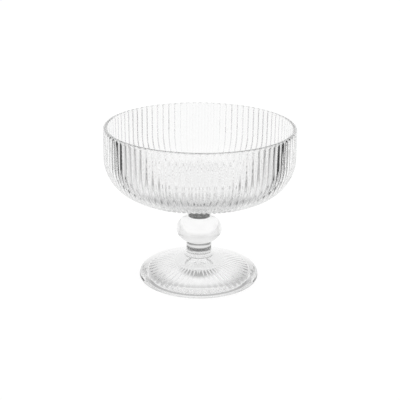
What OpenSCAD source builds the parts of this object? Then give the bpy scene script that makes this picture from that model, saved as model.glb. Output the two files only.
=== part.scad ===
// Footed ice cream cup in clear pressed glass.
// A ribbed bowl stands on a neck, a ball, a second neck, a step ring and a ribbed foot.

/* [Overall] */
// height of the whole cup, from the table to the rim
cup_height = 100; // [95:1:125]
// outside diameter of the bowl, measured over the ribs
rim_diameter = 120; // [105:1:140]

/* [Bowl] */
// thickness of the wall at the rim, which has a half round lip
rim_thickness = 3; // [2.4:0.1:4.5]
// lean of the inside wall, in degrees from upright
wall_draft = 1.5; // [0.5:0.1:3]
// outside radius of the corner between wall and underside
corner_radius = 25.5; // [20:0.5:30]
// slope of the underside, in degrees from level
underside_slope = 14; // [8:0.5:18]
// radius of the corner inside the bowl
inside_corner_radius = 22; // [16:0.5:25]
// slope of the inside floor, in degrees from level
inside_slope = 1; // [0.5:0.5:6]
// thickness of the floor at the middle of the bowl
floor_thickness = 10.5; // [8:0.1:12]

/* [Ribs of the bowl] */
// number of ribs round the bowl
rib_count = 90; // [60:1:110]
// depth of the valleys between the ribs
rib_depth = 0.7; // [0.4:0.05:1]
// part of the pitch that a rib takes, the rest being the valley beside it
rib_share = 0.66; // [0.5:0.02:0.8]
// distance from the rim down to where the ribs have their full depth
rib_start = 4.4; // [3.6:0.1:8]
// slope by which a valley runs out below the rim, in degrees from level
rib_nose = 60; // [35:1:70]
// distance from the middle at which the valleys have run out under the bowl
rib_end_radius = 13; // [12:0.5:20]

/* [Upper neck] */
// diameter of the neck between bowl and ball
upper_neck_diameter = 14; // [11:0.2:18]
// length of the upper neck
upper_neck_length = 8; // [5:0.1:12]
// diameter of the pad on which the bowl sits
pad_diameter = 20; // [18.4:0.2:24]
// height of the plain edge of the pad
pad_edge = 0.5; // [0.3:0.1:1]

/* [Ball] */
// diameter of the ball at its middle
ball_diameter = 28.8; // [22:0.2:36]
// height the ball would have without its flat ends
ball_height = 19.4; // [15:0.2:24]

/* [Lower neck] */
// diameter of the neck between ball and step ring
lower_neck_diameter = 15.8; // [12:0.2:18]
// length of the lower neck
lower_neck_length = 7.3; // [4:0.1:12]

/* [Step ring] */
// diameter of the step ring
ring_diameter = 18.8; // [18:0.2:24]
// height of the step ring
ring_height = 2.2; // [1.8:0.1:5]
// radius of the rounded top edge of the step ring
ring_round = 1.1; // [0.4:0.1:1.4]

/* [Foot] */
// diameter of the foot
foot_diameter = 76; // [64:1:96]
// height above the table at which the foot is widest
edge_height = 1.8; // [1.4:0.1:3]
// radius of the rounding between the edge of the foot and its slope
edge_round = 5; // [3:0.1:7]
// height of the foot at the step ring
foot_height = 15; // [12:0.5:20]
// thickness of the foot, measured straight down through its slope
foot_thickness = 7; // [6:0.1:8]
// width of the flat ring on which the foot stands
stand_width = 4.8; // [3:0.1:7]
// number of ribs under the foot
foot_rib_count = 48; // [30:1:60]
// depth of the valleys between the ribs under the foot
foot_rib_depth = 0.5; // [0.3:0.05:0.9]
// part of the pitch that a rib under the foot takes, the rest being the valley beside it
foot_rib_share = 0.6; // [0.5:0.02:0.8]
// distance from the middle at which the ribs under the foot begin
foot_rib_start_radius = 13.5; // [12:0.5:18]

/* [Hidden] */
// fineness of the round surfaces on screen
$fn = 96;
// a small overlap that lets a cut pass right through a surface
pass = rim_thickness / 4;

// heights of the faces at which the pieces meet, from the foot up
ring_z = foot_height;
lower_neck_z = ring_z + ring_height;
ball_z = lower_neck_z + lower_neck_length;
ball_half = ball_height / 2;
ball_radius = ball_diameter / 2;
upper_neck_radius = min(upper_neck_diameter / 2, ball_radius * 0.8);
lower_neck_radius = min(lower_neck_diameter / 2, ball_radius * 0.8);
ball_low_angle = acos(lower_neck_radius / ball_radius);
ball_top_angle = acos(upper_neck_radius / ball_radius);
ball_middle_z = ball_z + ball_half * sin(ball_low_angle);
upper_neck_z = ball_middle_z + ball_half * sin(ball_top_angle);
bowl_z = upper_neck_z + upper_neck_length;

// outside line of the bowl
bowl_radius = rim_diameter / 2;
lip_radius = rim_thickness / 2;
pad_radius = pad_diameter / 2;
corner_x = bowl_radius - corner_radius;
corner_end_x = corner_x + corner_radius * sin(underside_slope);
corner_end_z = bowl_z + (corner_end_x - pad_radius) * tan(underside_slope);
corner_z = corner_end_z + corner_radius * cos(underside_slope);
lip_z = cup_height - lip_radius;

// inside line of the bowl
inside_top = bowl_radius - rim_thickness;
inside_bottom_z = bowl_z + floor_thickness;
inside_a = inside_bottom_z + inside_corner_radius / cos(inside_slope);
inside_b = tan(inside_slope);
inside_c = inside_top - (lip_z * sin(wall_draft) + inside_corner_radius) / cos(wall_draft);
inside_d = tan(wall_draft);
inside_z = (inside_a + inside_b * inside_c) / (1 - inside_b * inside_d);
inside_x = inside_c + inside_d * inside_z;

// bottom of a valley, which slowly comes up to the surface as the ribs draw together
rib_turn = 360 / rib_count;
valley_turn = rib_turn * (1 - rib_share);
valley_x = bowl_radius - rib_depth;
valley_corner = corner_radius - rib_depth;
valley_end_x = corner_x + valley_corner * sin(underside_slope);
valley_end_z = corner_z - valley_corner * cos(underside_slope);
rib_end_z = bowl_z + (rib_end_radius - pad_radius) * tan(underside_slope);
run_slope = (valley_end_z - rib_end_z) / (valley_end_x - rib_end_radius);
rib_inner = rib_end_radius * 0.85;
rib_top_z = cup_height - rib_start;
nose_rise = (rib_depth + pass) * tan(rib_nose);

// foot
foot_radius = foot_diameter / 2;
edge_x = foot_radius - edge_round;
stand_outer = foot_radius - edge_height;
stand_inner = stand_outer - stand_width;
ring_radius = ring_diameter / 2;
foot_reach = norm([edge_x - ring_radius, foot_height - edge_height]);
foot_drop = atan((foot_height - edge_height) / (edge_x - ring_radius));
foot_slope = foot_drop - asin(edge_round / foot_reach);
hollow_edge_z = max(foot_height - (stand_inner - ring_radius) * tan(foot_slope) - foot_thickness, pass / 4);
hollow_z = hollow_edge_z + (stand_inner - foot_rib_start_radius) * tan(foot_slope);
foot_valley_turn = 360 / foot_rib_count * (1 - foot_rib_share);

// a slice of a disc between two of its points, on the far side of the line that joins them
module bulge(x, z, r, from, to) {
    intersection() {
        translate([x, z]) circle(r);
        polygon([
            [x + r * cos(from), z + r * sin(from)],
            [x + 2 * r * cos(from), z + 2 * r * sin(from)],
            [x + 3 * r * cos((from + to) / 2), z + 3 * r * sin((from + to) / 2)],
            [x + 2 * r * cos(to), z + 2 * r * sin(to)],
            [x + r * cos(to), z + r * sin(to)]
        ]);
    }
}

// half section of the solid bowl, before it is hollowed and ribbed
module bowl_outline() {
    polygon([
        [0, bowl_z],
        [pad_radius, bowl_z],
        [corner_end_x, corner_end_z],
        [bowl_radius, corner_z],
        [bowl_radius, lip_z],
        [0, lip_z]
    ]);
    bulge(corner_x, corner_z, corner_radius, underside_slope - 90, 0);
}

// half section of the room inside the bowl
module bowl_room() {
    low = inside_slope - 90;
    polygon([
        [0, inside_bottom_z],
        [inside_x + inside_corner_radius * cos(low), inside_z + inside_corner_radius * sin(low)],
        [inside_x + inside_corner_radius * cos(-wall_draft), inside_z + inside_corner_radius * sin(-wall_draft)],
        [inside_top, lip_z],
        [inside_top, lip_z + pass],
        [0, lip_z + pass]
    ]);
    bulge(inside_x, inside_z, inside_corner_radius, low, -wall_draft);
}

// half section of the bowl down to the bottom of its valleys
module valley_outline() {
    polygon([
        [rib_inner, cup_height],
        [rib_inner, rib_end_z - (rib_end_radius - rib_inner) * run_slope],
        [valley_end_x, valley_end_z],
        [valley_x, corner_z],
        [valley_x, rib_top_z],
        [bowl_radius + pass, rib_top_z + nose_rise],
        [bowl_radius + pass, cup_height]
    ]);
    bulge(corner_x, corner_z, valley_corner, underside_slope - 90, 0);
}

// one valley along the whole side of the bowl
module bowl_groove() {
    low = bowl_z - pass;
    inner = (rib_inner + rib_end_radius) / 2;
    rotate([0, 0, -valley_turn / 2])
        rotate_extrude(angle = valley_turn)
        difference() {
            translate([inner, low])
                square([bowl_radius + pass / 2 - inner, rib_top_z + nose_rise - low - pass / 8]);
            valley_outline();
        }
}

// height of the slope under the foot at a distance from the middle
function under(r) = hollow_edge_z + (stand_inner - r) * tan(foot_slope);

// one valley along the slope under the foot
module foot_groove() {
    first = foot_rib_start_radius + pass;
    last = stand_inner - pass * 2;
    end = foot_rib_depth;
    rotate([0, 0, -foot_valley_turn / 2])
        rotate_extrude(angle = foot_valley_turn)
        polygon([
            [first - pass / 2, under(first) - pass],
            [last + pass / 2, under(last) - pass],
            [last - end, under(last - end) + foot_rib_depth],
            [first + end, under(first + end) + foot_rib_depth]
        ]);
}

// hollow ribbed bowl with a round lip
module bowl() {
    color([0.93, 0.95, 0.96, 0.45])
    difference() {
        rotate_extrude() {
            difference() {
                bowl_outline();
                bowl_room();
            }
            bulge(bowl_radius - lip_radius, lip_z, lip_radius, 0, 180);
        }
        for (i = [0 : rib_count - 1]) {
            rotate([0, 0, i * 360 / rib_count]) bowl_groove();
        }
    }
}

// neck that flares out into the pad under the bowl
module upper_neck() {
    flare = min(pad_radius - upper_neck_radius - pad_edge * 0.8, upper_neck_length - pad_edge * 2);
    color([0.90, 0.93, 0.95, 0.45])
    rotate_extrude() {
        translate([0, upper_neck_z]) square([upper_neck_radius, upper_neck_length]);
        translate([0, bowl_z - pad_edge]) square([pad_radius, pad_edge]);
        difference() {
            translate([0, bowl_z - pad_edge - flare]) square([upper_neck_radius + flare, flare]);
            translate([upper_neck_radius + flare, bowl_z - pad_edge - flare]) circle(flare);
        }
    }
}

// flattened ball with a flat face at each end for the necks
module ball() {
    steps = 40;
    span = ball_top_angle + ball_low_angle;
    color([0.94, 0.96, 0.97, 0.45])
    rotate_extrude() polygon([
        [0, ball_z],
        for (i = [0 : steps])
            let (a = i * span / steps - ball_low_angle)
            [ball_radius * cos(a), ball_middle_z + ball_half * sin(a)],
        [0, upper_neck_z]
    ]);
}

// plain neck below the ball
module lower_neck() {
    color([0.90, 0.93, 0.95, 0.45])
    translate([0, 0, lower_neck_z]) cylinder(h = lower_neck_length, r = lower_neck_radius);
}

// low ring with a rounded top edge
module step_ring() {
    color([0.92, 0.94, 0.96, 0.45])
    rotate_extrude() {
        polygon([
            [0, ring_z],
            [ring_radius, ring_z],
            [ring_radius, lower_neck_z - ring_round],
            [ring_radius - ring_round, lower_neck_z],
            [0, lower_neck_z]
        ]);
        bulge(ring_radius - ring_round, lower_neck_z - ring_round, ring_round, 0, 90);
    }
}

// sloping foot with a rounded edge, hollow and ribbed underneath
module foot() {
    color([0.93, 0.95, 0.96, 0.45])
    difference() {
        rotate_extrude() {
            difference() {
                polygon([
                    [0, 0],
                    [stand_outer, 0],
                    [foot_radius, edge_height],
                    [edge_x + edge_round * sin(foot_slope), edge_height + edge_round * cos(foot_slope)],
                    [ring_radius, foot_height],
                    [0, foot_height]
                ]);
                polygon([
                    [0, -pass],
                    [stand_inner, -pass],
                    [stand_inner, hollow_edge_z],
                    [foot_rib_start_radius, hollow_z],
                    [0, hollow_z]
                ]);
            }
            bulge(stand_outer, edge_height, edge_height, -90, 0);
            bulge(edge_x, edge_height, edge_round, 0, 90 - foot_slope);
        }
        for (i = [0 : foot_rib_count - 1]) {
            rotate([0, 0, i * 360 / foot_rib_count]) foot_groove();
        }
    }
}

bowl();
upper_neck();
ball();
lower_neck();
step_ring();
foot();
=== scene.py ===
"""Looks of the footed ice cream cup: fused pieces of clear ribbed glass on a white studio table."""

import math

import bpy
import numpy as np
from mathutils import Matrix


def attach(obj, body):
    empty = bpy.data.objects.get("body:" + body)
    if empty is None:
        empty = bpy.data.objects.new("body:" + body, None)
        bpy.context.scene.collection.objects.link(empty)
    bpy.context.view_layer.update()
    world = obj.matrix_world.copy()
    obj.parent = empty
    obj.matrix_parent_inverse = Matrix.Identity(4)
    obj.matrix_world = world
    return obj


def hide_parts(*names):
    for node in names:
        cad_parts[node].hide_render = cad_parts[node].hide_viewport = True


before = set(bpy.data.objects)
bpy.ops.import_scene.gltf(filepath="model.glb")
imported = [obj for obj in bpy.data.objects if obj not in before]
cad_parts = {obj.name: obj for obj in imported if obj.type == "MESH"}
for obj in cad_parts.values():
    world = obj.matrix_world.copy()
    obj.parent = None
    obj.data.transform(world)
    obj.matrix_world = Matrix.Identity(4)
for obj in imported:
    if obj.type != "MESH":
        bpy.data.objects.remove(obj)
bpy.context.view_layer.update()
scene = bpy.context.scene
scene.view_settings.view_transform = "Standard"

MM_PER_M = 1000

# Sizes that the solids have too, in millimetres and degrees
CUP_HEIGHT = 100.0
BOWL_R = 60.0
LIP_R = 1.5
CORNER_R = 25.5
UNDERSIDE_SLOPE = 14.0
INSIDE_CORNER_R = 22.0
WALL_DRAFT = 1.5
FLOOR_T = 10.5
BOWL_RIBS = 90
PAD_R = 10.0
UPPER_NECK_R = 7.0
UPPER_NECK_L = 8.0
BALL_R = 14.4
BALL_HALF = 9.7
LOWER_NECK_R = 7.9
LOWER_NECK_L = 7.3
RING_R = 9.4
RING_H = 2.2
RING_ROUND = 1.1
FOOT_R = 38.0
EDGE_Z = 1.8
EDGE_TOP_R = 5.0
FOOT_H = 15.0
FOOT_T = 7.0
STAND_IN_R = 31.4
FOOT_RIBS = 48
FOOT_RIB_IN_R = 13.5

# Sizes of the finer forms, which differ from the solids
INSIDE_SLOPE = 0.5
BOWL_RIB_DEPTH = 0.9
FOOT_RIB_DEPTH = 0.3
DOME_R = 20.0
PAD_RIM = 0.05

# Distances below the rim between which the bowl's ribs come up, and the width of their rise at the pad
BOWL_RIB_TOP = 0.1
BOWL_RIB_FULL = 1.6
BOWL_RIB_RISE = 3.0

# Length in which the foot's ribs come up, and distances from the standing ring between which they run out
FOOT_RIB_RISE = 0.9
FOOT_RIB_FADE = 1.2
FOOT_RIB_CLEAR = 0.2

# Inner edge of the standing ring: distances outward, each with its share of the edge's height
STAND_EDGE = ((0.0, 1.0), (0.15, 0.4), (0.45, 0.0))

# Fineness of the meshes: segments round a smooth piece and across one rib
TURN_SEGMENTS = 180
BOWL_RIB_SEGMENTS = 14
FOOT_RIB_SEGMENTS = 12

# Bands of closer points: below the rim, and where the foot's ribs begin, with a gap before and after them
RIM_BAND = 5.5
FOOT_RIB_BEGIN = 1.2
GAP_BEFORE = 0.6
GAP_AFTER = 0.8

# Edges sharper than this angle in degrees stay sharp, and the flare of the neck ends just short of level
SHARP_ANGLE = 38.0
FLARE_END = 92.0

# Tolerances: how close two points are one, and how close to its height and how level a face of a joint is
SAME_POINT = 1e-4
JOINT_HEIGHT = 0.01
JOINT_NORMAL = 0.999

# Heights of the faces at which the pieces are fused
RING_Z = FOOT_H
LOWER_NECK_Z = RING_Z + RING_H
BALL_Z = LOWER_NECK_Z + LOWER_NECK_L
BALL_LOW = math.acos(LOWER_NECK_R / BALL_R)
BALL_TOP = math.acos(UPPER_NECK_R / BALL_R)
BALL_MID = BALL_Z + BALL_HALF * math.sin(BALL_LOW)
UPPER_NECK_Z = BALL_MID + BALL_HALF * math.sin(BALL_TOP)
BOWL_Z = UPPER_NECK_Z + UPPER_NECK_L


# Angles are in degrees, and profiles are points (radius, height) from the axis below round to the axis above
def sine(angle):
    return math.sin(math.radians(angle))


def cosine(angle):
    return math.cos(math.radians(angle))


def tangent(angle):
    return math.tan(math.radians(angle))


def arc(cx, cz, r, start, end, count):
    return [(cx + r * cosine(a), cz + r * sine(a)) for a in np.linspace(start, end, count)]


def line(p, q, count):
    return [(p[0] + (q[0] - p[0]) * t, p[1] + (q[1] - p[1]) * t) for t in np.linspace(0, 1, count)]


def join(*runs):
    """One run of points, without the repeats where two runs meet."""
    points = []
    for run in runs:
        for p in run:
            if not points or math.dist(p, points[-1]) > SAME_POINT:
                points.append(p)
    return points


def smooth(x, low, high):
    """Zero below low, one above high and a smooth rise between."""
    t = min(max((x - low) / (high - low), 0.0), 1.0)
    return t * t * (3 - 2 * t)


def ribs(depths, count, segments):
    """Offsets of a smooth wave, a row for each depth: zero on a crest, minus the depth in a valley."""
    wave = np.cos(np.arange(segments) * count * 2 * math.pi / segments) * -0.5 - 0.5
    return np.outer(depths, wave)


def lathe(name, profile, segments=TURN_SEGMENTS, offsets=0.0):
    """A closed turned mesh, whose points may be moved out from the profile by a row of offsets each."""
    p = np.array(profile, float)
    along = np.gradient(p, axis=0)
    along /= np.linalg.norm(along, axis=1)[:, None]
    turn = np.arange(segments) * 2 * math.pi / segments
    verts = []
    rows = []
    for (r, z), (dr, dz), out in zip(p, along, np.broadcast_to(offsets, (len(p), segments))):
        if r < SAME_POINT:
            rows.append([len(verts)])
            verts.append((0.0, 0.0, z / MM_PER_M))
            continue
        rr = (r + out * dz) / MM_PER_M
        zz = (z - out * dr) / MM_PER_M
        rows.append(list(range(len(verts), len(verts) + segments)))
        verts += list(zip((rr * np.cos(turn)).tolist(), (rr * np.sin(turn)).tolist(), zz.tolist()))
    faces = []
    for a, b in zip(rows, rows[1:]):
        for k in range(segments):
            m = (k + 1) % segments
            if len(a) == 1:
                faces.append((a[0], b[m], b[k]))
            elif len(b) == 1:
                faces.append((a[k], a[m], b[0]))
            else:
                faces.append((a[k], a[m], b[m], b[k]))
    mesh = bpy.data.meshes.new(name)
    mesh.from_pydata(verts, [], faces)
    mesh.polygons.foreach_set("use_smooth", [True] * len(faces))
    mesh.set_sharp_from_angle(angle=math.radians(SHARP_ANGLE))
    mesh.update()
    obj = bpy.data.objects.new(name, mesh)
    scene.collection.objects.link(obj)
    return obj


# Bowl, outside: underside, corner, wall and the outer half of the lip
corner_x = BOWL_R - CORNER_R
corner_end_x = corner_x + CORNER_R * sine(UNDERSIDE_SLOPE)
corner_end_z = BOWL_Z + (corner_end_x - PAD_R) * tangent(UNDERSIDE_SLOPE)
corner_z = corner_end_z + CORNER_R * cosine(UNDERSIDE_SLOPE)
lip_x = BOWL_R - LIP_R
lip_z = CUP_HEIGHT - LIP_R
bowl_outside = join(
    line((PAD_R, BOWL_Z), (corner_end_x, corner_end_z), count=20),
    arc(corner_x, corner_z, CORNER_R, UNDERSIDE_SLOPE - 90, 0, count=26),
    line((BOWL_R, corner_z), (BOWL_R, CUP_HEIGHT - RIM_BAND), count=7),
    line((BOWL_R, CUP_HEIGHT - RIM_BAND), (BOWL_R, lip_z), count=12),
    arc(lip_x, lip_z, LIP_R, 0, 90, count=8),
)

# Bowl, inside: the centre of its corner lies one radius from the leaning wall and from the sloping floor
wall_lean = tangent(WALL_DRAFT)
floor_rise = tangent(INSIDE_SLOPE)
floor_z = BOWL_Z + FLOOR_T
above_floor = floor_z + INSIDE_CORNER_R / cosine(INSIDE_SLOPE)
within_wall = BOWL_R - 2 * LIP_R - (lip_z * sine(WALL_DRAFT) + INSIDE_CORNER_R) / cosine(WALL_DRAFT)
inside_z = (above_floor + floor_rise * within_wall) / (1 - floor_rise * wall_lean)
inside_x = within_wall + wall_lean * inside_z
inside_lip = arc(lip_x, lip_z, LIP_R, 90, 180, count=8)
inside_corner = arc(inside_x, inside_z, INSIDE_CORNER_R, -WALL_DRAFT, INSIDE_SLOPE - 90, count=26)
bowl_inside = join(
    inside_lip,
    line(inside_lip[-1], inside_corner[0], count=8),
    inside_corner,
    line(inside_corner[-1], (0.0, floor_z), count=15),
)


def bowl_rib_depth(r, z):
    """The bowl's ribs fade out at the lip and at the pad, and get shallower towards the middle."""
    fade = smooth(CUP_HEIGHT - z, BOWL_RIB_TOP, BOWL_RIB_FULL) * smooth(r, PAD_R, PAD_R + BOWL_RIB_RISE)
    return BOWL_RIB_DEPTH * r / BOWL_R * fade


bowl_profile = join([(0.0, BOWL_Z)], bowl_outside, bowl_inside)
bowl_depths = np.zeros(len(bowl_profile))
bowl_depths[1:len(bowl_outside) + 1] = [bowl_rib_depth(r, z) for r, z in bowl_outside]
bowl_segments = BOWL_RIBS * BOWL_RIB_SEGMENTS
bowl = lathe("bowl_glass", bowl_profile, bowl_segments, ribs(bowl_depths, BOWL_RIBS, bowl_segments))

# Upper neck: plain below, flaring into the pad under the bowl
flare = PAD_R - UPPER_NECK_R - PAD_RIM
upper_neck = lathe("upper_neck_glass", join(
    [(0.0, UPPER_NECK_Z)],
    line((UPPER_NECK_R, UPPER_NECK_Z), (UPPER_NECK_R, BOWL_Z - flare), count=6),
    arc(UPPER_NECK_R + flare, BOWL_Z - flare, flare, 180, FLARE_END, count=10),
    [(PAD_R, BOWL_Z), (0.0, BOWL_Z)],
))

# Flattened ball
BALL_POINTS = 56
ball_angles = np.linspace(-BALL_LOW, BALL_TOP, BALL_POINTS)
ball = lathe("ball_glass", join(
    [(0.0, BALL_Z)],
    [(BALL_R * math.cos(a), BALL_MID + BALL_HALF * math.sin(a)) for a in ball_angles],
    [(0.0, UPPER_NECK_Z)],
))

# Lower neck
lower_neck = lathe("lower_neck_glass", join(
    [(0.0, LOWER_NECK_Z)],
    line((LOWER_NECK_R, LOWER_NECK_Z), (LOWER_NECK_R, BALL_Z), count=8),
    [(0.0, BALL_Z)],
))

# Step ring with a rounded top edge
step_ring = lathe("step_ring_glass", join(
    [(0.0, RING_Z)],
    line((RING_R, RING_Z), (RING_R, LOWER_NECK_Z - RING_ROUND), count=5),
    arc(RING_R - RING_ROUND, LOWER_NECK_Z - RING_ROUND, RING_ROUND, 0, 90, count=12),
    [(LOWER_NECK_R, LOWER_NECK_Z), (0.0, LOWER_NECK_Z)],
))

# Foot: its slope touches the rounding of the edge and ends at the step ring
edge_x = FOOT_R - EDGE_TOP_R
reach = math.hypot(edge_x - RING_R, FOOT_H - EDGE_Z)
drop = math.degrees(math.atan2(FOOT_H - EDGE_Z, edge_x - RING_R))
foot_slope = drop - math.degrees(math.asin(EDGE_TOP_R / reach))
foot_fall = tangent(foot_slope)
stand_out = FOOT_R - EDGE_Z
hollow_edge_z = FOOT_H - (STAND_IN_R - RING_R) * foot_fall - FOOT_T
dome_z = hollow_edge_z + (STAND_IN_R - DOME_R) * foot_fall + DOME_R * foot_fall / 2


def hollow_height(r):
    """Height under the foot: a shallow dome in the middle that runs into the slope."""
    if r < DOME_R:
        return dome_z - r * r * foot_fall / (2 * DOME_R)
    return hollow_edge_z + (STAND_IN_R - r) * foot_fall


def foot_rib_depth(r):
    """The foot's ribs come up at their inner end and run out at the standing ring."""
    rise = smooth(r, FOOT_RIB_IN_R, FOOT_RIB_IN_R + FOOT_RIB_RISE)
    return FOOT_RIB_DEPTH * rise * smooth(STAND_IN_R - r, FOOT_RIB_CLEAR, FOOT_RIB_FADE)


# Radii of the points in the foot's hollow, in runs (from, to, count)
rib_begin_end = FOOT_RIB_IN_R + FOOT_RIB_BEGIN
fade_start = STAND_IN_R - FOOT_RIB_FADE
hollow_runs = (
    (0.0, FOOT_RIB_IN_R - GAP_BEFORE, 14),
    (FOOT_RIB_IN_R, rib_begin_end, 7),
    (rib_begin_end + GAP_AFTER, fade_start - FOOT_RIB_CLEAR, 20),
    (fade_start, STAND_IN_R - FOOT_RIB_CLEAR, 6),
)
hollow_radii = [float(r) for run in hollow_runs for r in np.linspace(*run)]
foot_under = join(
    [(r, hollow_height(r)) for r in hollow_radii],
    [(STAND_IN_R + out, hollow_edge_z * share) for out, share in STAND_EDGE],
)
foot_edge = arc(edge_x, EDGE_Z, EDGE_TOP_R, 0, 90 - foot_slope, count=22)
foot_profile = join(
    foot_under,
    arc(stand_out, EDGE_Z, EDGE_Z, -90, 0, count=12),
    foot_edge,
    line(foot_edge[-1], (RING_R, FOOT_H), count=16),
    [(0.0, FOOT_H)],
)
foot_depths = np.zeros(len(foot_profile))
foot_depths[:len(foot_under)] = [foot_rib_depth(r) for r, z in foot_under]
foot_segments = FOOT_RIBS * FOOT_RIB_SEGMENTS
foot = lathe("foot_glass", foot_profile, foot_segments, ribs(foot_depths, FOOT_RIBS, foot_segments))


def mark_joints(obj, *joints):
    """Gives the second material slot to the level faces (height, radius) where pieces are fused."""
    for face in obj.data.polygons:
        x, y, z = face.center * MM_PER_M
        for height, radius in joints:
            level = abs(face.normal.z) > JOINT_NORMAL and abs(z - height) < JOINT_HEIGHT
            if level and math.hypot(x, y) < radius:
                face.material_index = 1


mark_joints(bowl, (BOWL_Z, PAD_R))
mark_joints(upper_neck, (UPPER_NECK_Z, UPPER_NECK_R), (BOWL_Z, PAD_R))
mark_joints(ball, (BALL_Z, LOWER_NECK_R), (UPPER_NECK_Z, UPPER_NECK_R))
mark_joints(lower_neck, (LOWER_NECK_Z, LOWER_NECK_R), (BALL_Z, LOWER_NECK_R))
mark_joints(step_ring, (RING_Z, RING_R), (LOWER_NECK_Z, LOWER_NECK_R))
mark_joints(foot, (FOOT_H, RING_R))

# Glass: refraction, the noise for a faint tint, polish marks and waves, and how a seed shifts that noise
GLASS_IOR = 1.5
TINT_SCALE = 35.0
TINT_DETAIL = 3.0
TINT_FROM = (0.3, (0.972, 0.975, 0.975, 1))
TINT_TO = (0.7, (0.992, 0.99, 0.988, 1))
POLISH_SCALE = 90.0
POLISH_DETAIL = 4.0
POLISH_LOW = 0.35
POLISH_HIGH = 0.75
POLISH_ROUGHNESS = 0.03
WAVE_DETAIL = 1.5
SEED_STEP = (1.0, 0.7, 1.3)

# Painted shade on the stem, as greys by height in metres: the clear glass is drawn darker at its two narrow
# necks, standing in for the dark room that the thick glass bends into view from every side
PAINTED_WAIST_SHADE = (
    (0.0, 1.0), (0.0149, 1.0), (0.015, 0.3), (0.0156, 0.3), (0.0161, 1.0), (0.0171, 1.0), (0.0173, 0.75),
    (0.0193, 0.7), (0.0198, 0.1), (0.0214, 0.1), (0.0222, 1.0),
    (0.0411, 1.0), (0.0413, 0.1), (0.0445, 0.1), (0.0475, 1.0), (0.1, 1.0),
)

# Places of the colour sockets on a Mix node
MIX_SHARE = 0
MIX_A = 6
MIX_B = 7
MIX_RESULT = 2


def feed(nt, socket, value):
    """Links an output to a socket, or sets a plain value on it."""
    if isinstance(value, bpy.types.NodeSocket):
        nt.links.new(value, socket)
    else:
        socket.default_value = value


def compute(nt, operation, *values):
    node = nt.nodes.new("ShaderNodeMath")
    node.operation = operation
    for socket, value in zip(node.inputs, values):
        feed(nt, socket, value)
    return node.outputs[0]


def split(nt, vector):
    """The outputs X, Y and Z of a vector."""
    node = nt.nodes.new("ShaderNodeSeparateXYZ")
    nt.links.new(vector, node.inputs[0])
    return node.outputs


def noise(nt, vector, scale, detail):
    node = nt.nodes.new("ShaderNodeTexNoise")
    node.inputs["Scale"].default_value = scale
    node.inputs["Detail"].default_value = detail
    nt.links.new(vector, node.inputs["Vector"])
    return node.outputs["Fac"]


def grey(v):
    return (v, v, v, 1)


def grey_ramp(nt, value, stops):
    """Grey that changes along a value, given as (value, grey) stops."""
    low = stops[0][0]
    high = stops[-1][0]
    share = nt.nodes.new("ShaderNodeMapRange")
    share.inputs["From Min"].default_value = low
    share.inputs["From Max"].default_value = high
    nt.links.new(value, share.inputs["Value"])
    ramp = nt.nodes.new("ShaderNodeValToRGB")
    nt.links.new(share.outputs["Result"], ramp.inputs["Fac"])
    marks = ramp.color_ramp.elements
    marks[0].color = grey(stops[0][1])
    marks[1].color = grey(stops[-1][1])
    for v, tone in stops[1:-1]:
        marks.new((v - low) / (high - low)).color = grey(tone)
    return ramp.outputs["Color"]


def blend(nt, share, a, b, way="MIX"):
    """Goes from colour a to colour b, or with MULTIPLY to their product, by a share."""
    node = nt.nodes.new("ShaderNodeMix")
    node.data_type = "RGBA"
    node.blend_type = way
    feed(nt, node.inputs[MIX_SHARE], share)
    feed(nt, node.inputs[MIX_A], a)
    feed(nt, node.inputs[MIX_B], b)
    return node.outputs[MIX_RESULT]


def glass_tint(nt, vector):
    """A faint tint that changes from place to place."""
    ramp = nt.nodes.new("ShaderNodeValToRGB")
    for mark, (position, colour) in zip(ramp.color_ramp.elements, (TINT_FROM, TINT_TO)):
        mark.position = position
        mark.color = colour
    nt.links.new(noise(nt, vector, TINT_SCALE, TINT_DETAIL), ramp.inputs["Fac"])
    return ramp.outputs["Color"]


def glass_polish(nt, vector):
    """Roughness: clear, with faint marks of the polish."""
    rough = nt.nodes.new("ShaderNodeMapRange")
    rough.inputs["From Min"].default_value = POLISH_LOW
    rough.inputs["From Max"].default_value = POLISH_HIGH
    rough.inputs["To Min"].default_value = 0.0
    rough.inputs["To Max"].default_value = POLISH_ROUGHNESS
    nt.links.new(noise(nt, vector, POLISH_SCALE, POLISH_DETAIL), rough.inputs["Value"])
    return rough.outputs["Result"]


def glass(name, seed, wave_scale, wave_height, painted_shade_stops=None):
    """Clear pressed glass with faint marks and waves of a height in metres, with painted shade darkening its
    colour at the given heights.
    """
    mat = bpy.data.materials.new(name)
    mat.use_nodes = True
    nt = mat.node_tree
    shader = nt.nodes["Principled BSDF"]
    shader.inputs["Transmission Weight"].default_value = 1.0
    shader.inputs["IOR"].default_value = GLASS_IOR
    where = nt.nodes.new("ShaderNodeTexCoord").outputs["Object"]
    shift = nt.nodes.new("ShaderNodeMapping")
    shift.inputs["Location"].default_value = [seed * step for step in SEED_STEP]
    nt.links.new(where, shift.inputs["Vector"])
    vector = shift.outputs["Vector"]
    colour = glass_tint(nt, vector)
    # Painted shade: the base colour is darkened by height at the stem's two narrow necks
    if painted_shade_stops:
        colour = blend(nt, 1.0, colour, grey_ramp(nt, split(nt, where)["Z"], painted_shade_stops), "MULTIPLY")
    nt.links.new(colour, shader.inputs["Base Color"])
    nt.links.new(glass_polish(nt, vector), shader.inputs["Roughness"])
    bump = nt.nodes.new("ShaderNodeBump")
    bump.inputs["Strength"].default_value = 1.0
    bump.inputs["Distance"].default_value = wave_height
    nt.links.new(noise(nt, vector, wave_scale, WAVE_DETAIL), bump.inputs["Height"])
    nt.links.new(bump.outputs["Normal"], shader.inputs["Normal"])
    return mat


def fused_face(name):
    """Where two pieces are fused the glass runs on, so the face between them does not show."""
    mat = glass(name, seed=2.0, wave_scale=60.0, wave_height=0.0)
    mat.node_tree.nodes["Principled BSDF"].inputs["Alpha"].default_value = 0.0
    return mat


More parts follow.
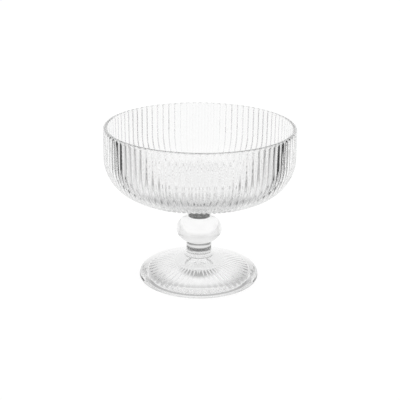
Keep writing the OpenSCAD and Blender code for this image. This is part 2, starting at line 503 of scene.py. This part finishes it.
bowl_glass = glass("bowl_glass", seed=1.0, wave_scale=55.0, wave_height=0.00012)
# The stem glass carries painted shade at its two narrow necks
stem_glass = glass("stem_glass", seed=4.0, wave_scale=70.0, wave_height=0.00006, painted_shade_stops=PAINTED_WAIST_SHADE)
foot_glass = glass("foot_glass", seed=7.0, wave_scale=60.0, wave_height=0.00012)
joint = fused_face("fused_joint")
for obj, node, slot, mat in (
    (bowl, "bowl", "bowl_glass", bowl_glass),
    (upper_neck, "upper_neck", "stem_glass", stem_glass),
    (ball, "ball", "stem_glass", stem_glass),
    (lower_neck, "lower_neck", "stem_glass", stem_glass),
    (step_ring, "step_ring", "stem_glass", stem_glass),
    (foot, "foot", "foot_glass", foot_glass),
):
    obj.data.materials.append(mat)
    obj.data.materials.append(joint)
    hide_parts(node)
    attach(obj, "root")

# Studio walls, with dark cards at the sides, by compass direction: 0 away from the camera, 90 to the right
CARDS = (
    (-180, 0.85), (-150, 0.95), (-112, 0.95), (-98, 0.8), (-88, 0.7), (-82, 0.5), (-78, 0.0), (-63, 0.0),
    (-57, 1.0), (55, 1.0), (61, 0.0), (81, 0.0), (85, 0.5), (90, 0.7), (100, 0.8), (112, 0.95),
    (150, 0.95), (180, 0.85),
)

# Ceiling by compass direction, darker ahead
CEILING = ((-180, 1.0), (-120, 1.0), (-60, 0.9), (-20, 0.2), (20, 0.2), (60, 0.9), (120, 1.0), (180, 1.0))

# By degrees above the table: shade on the walls, and where the ceiling and the plain top begin
SHADE = ((0, 0.0), (6, 0.0), (14, 0.14), (30, 0.14), (42, 0.0), (50, 0.0))
CEILING_SHARE = ((28, 0.0), (46, 1.0))
TOP_SHARE = ((66, 0.0), (76, 1.0))
TOP_GREY = 0.85

# Table by millimetres from the axis, with a painted shadow of the cup that is dark under the stem and darker
# in front of the foot: behind the axis, in front of it, and where the greys of the walls begin, a painted
# shade of the dark cards further out
PAINTED_SHADOW_AHEAD = ((0, 0.35), (6, 0.45), (13, 0.85), (20, 0.9), (30, 0.85), (40, 0.95), (60, 1.0), (120, 1.0))
PAINTED_SHADOW_NEAR = (
    (0, 0.35), (6, 0.45), (12, 1.0), (20, 0.95), (28, 0.54), (40, 0.25), (60, 0.15), (84, 0.4), (120, 1.0),
)
WALL_SHARE = ((46, 0.0), (90, 1.0))

# Table from front to back in metres: where the part in front gives way to the part behind
AHEAD_SHARE = ((-0.02, 0.0), (0.02, 1.0))

# Table that the camera sees: paint that takes a faint shadow, and a glow that brings it to white
TABLE_PAINT = 0.14
TABLE_GLOW = 0.92

# Half the table's width, and its top just under the foot, in metres
TABLE_HALF = 6.0
TABLE_Z = -0.0002


def compass(nt, axes):
    """Compass direction in degrees."""
    return compute(nt, "MULTIPLY", compute(nt, "ARCTAN2", axes["X"], axes["Y"]), math.degrees(1))


def table_seen(nt):
    """The table as the camera sees it."""
    paint = nt.nodes.new("ShaderNodeBsdfDiffuse")
    paint.inputs["Color"].default_value = grey(TABLE_PAINT)
    glow = nt.nodes.new("ShaderNodeEmission")
    glow.inputs["Strength"].default_value = TABLE_GLOW
    both = nt.nodes.new("ShaderNodeAddShader")
    nt.links.new(paint.outputs[0], both.inputs[0])
    nt.links.new(glow.outputs[0], both.inputs[1])
    return both.outputs[0]


def table_through_glass(nt):
    """The table as it shows through and in the glass: a glow with a painted shadow of the cup, and further
    out the greys of the walls as a painted shade of the dark cards.
    """
    place = nt.nodes.new("ShaderNodeNewGeometry").outputs["Position"]
    axes = split(nt, place)
    length = nt.nodes.new("ShaderNodeVectorMath")
    length.operation = "LENGTH"
    nt.links.new(place, length.inputs[0])
    away = compute(nt, "MULTIPLY", length.outputs["Value"], MM_PER_M)
    ahead_share = grey_ramp(nt, axes["Y"], AHEAD_SHARE)
    # Painted shadow of the cup: the glow is darker under the stem and in front of the foot
    ground = blend(nt, ahead_share, grey_ramp(nt, away, PAINTED_SHADOW_NEAR), grey_ramp(nt, away, PAINTED_SHADOW_AHEAD))
    walls = grey_ramp(nt, compass(nt, axes), CARDS)
    shown = nt.nodes.new("ShaderNodeEmission")
    # Further out the glow takes the greys of the walls, a painted shade of the dark cards
    nt.links.new(blend(nt, grey_ramp(nt, away, WALL_SHARE), ground, walls), shown.inputs["Color"])
    return shown.outputs[0]


def table_white():
    mat = bpy.data.materials.new("table_white")
    mat.use_nodes = True
    nt = mat.node_tree
    nt.nodes.clear()
    rays = nt.nodes.new("ShaderNodeLightPath").outputs
    choice = nt.nodes.new("ShaderNodeMixShader")
    glassy = compute(nt, "MAXIMUM", rays["Is Transmission Ray"], rays["Is Glossy Ray"])
    nt.links.new(glassy, choice.inputs[0])
    nt.links.new(table_seen(nt), choice.inputs[1])
    nt.links.new(table_through_glass(nt), choice.inputs[2])
    out = nt.nodes.new("ShaderNodeOutputMaterial")
    nt.links.new(choice.outputs[0], out.inputs["Surface"])
    return mat


def studio_world():
    """White to the camera; the walls, the ceiling and the top light the cup and show in the glass."""
    world = bpy.data.worlds.new("studio")
    world.use_nodes = True
    nt = world.node_tree
    axes = split(nt, nt.nodes.new("ShaderNodeTexCoord").outputs["Generated"])
    turn = compass(nt, axes)
    rise = compute(nt, "MULTIPLY", compute(nt, "ARCSINE", axes["Z"]), math.degrees(1))
    walls = blend(nt, grey_ramp(nt, rise, SHADE), grey_ramp(nt, turn, CARDS), grey(0.0))
    room = blend(nt, grey_ramp(nt, rise, CEILING_SHARE), walls, grey_ramp(nt, turn, CEILING))
    room = blend(nt, grey_ramp(nt, rise, TOP_SHARE), room, grey(TOP_GREY))
    camera_ray = nt.nodes.new("ShaderNodeLightPath").outputs["Is Camera Ray"]
    nt.links.new(blend(nt, camera_ray, room, grey(1.0)), nt.nodes["Background"].inputs["Color"])
    return world


corners = [(-TABLE_HALF, -TABLE_HALF, 0), (TABLE_HALF, -TABLE_HALF, 0)]
corners += [(TABLE_HALF, TABLE_HALF, 0), (-TABLE_HALF, TABLE_HALF, 0)]
floor_mesh = bpy.data.meshes.new("table")
floor_mesh.from_pydata(corners, [], [(0, 1, 2, 3)])
floor_mesh.materials.append(table_white())
floor = bpy.data.objects.new("table", floor_mesh)
floor.location.z = TABLE_Z
scene.collection.objects.link(floor)
scene.world = studio_world()

# Camera at the photograph's place, in millimetres and degrees, with its focal length in pixels
CAMERA_X = 0.4
CAMERA_DISTANCE = 652.4
CAMERA_HEIGHT = 278.5
CAMERA_PITCH = 19.19
CAMERA_ROLL = 0.6
FOCAL_PIXELS = 1092.3
PHOTO_PIXELS = 400
SENSOR_WIDTH = 36.0
VIEW_RANGE_M = 50.0
lens = bpy.data.cameras.new("camera")
lens.sensor_width = SENSOR_WIDTH
lens.lens = SENSOR_WIDTH * FOCAL_PIXELS / PHOTO_PIXELS
lens.clip_end = VIEW_RANGE_M
camera = bpy.data.objects.new("camera", lens)
camera.location = (CAMERA_X / MM_PER_M, -CAMERA_DISTANCE / MM_PER_M, CAMERA_HEIGHT / MM_PER_M)
camera.rotation_mode = "XYZ"
pitch = Matrix.Rotation(math.radians(90 - CAMERA_PITCH), 3, "X")
roll = Matrix.Rotation(math.radians(CAMERA_ROLL), 3, "Z")
camera.rotation_euler = (pitch @ roll).to_euler()
scene.collection.objects.link(camera)
scene.camera = camera

# Light passes through many faces of the cup
GLASS_BOUNCES = 32
GLOSSY_BOUNCES = 16
scene.cycles.max_bounces = GLASS_BOUNCES
scene.cycles.transmission_bounces = GLASS_BOUNCES
scene.cycles.transparent_max_bounces = GLASS_BOUNCES
scene.cycles.glossy_bounces = GLOSSY_BOUNCES
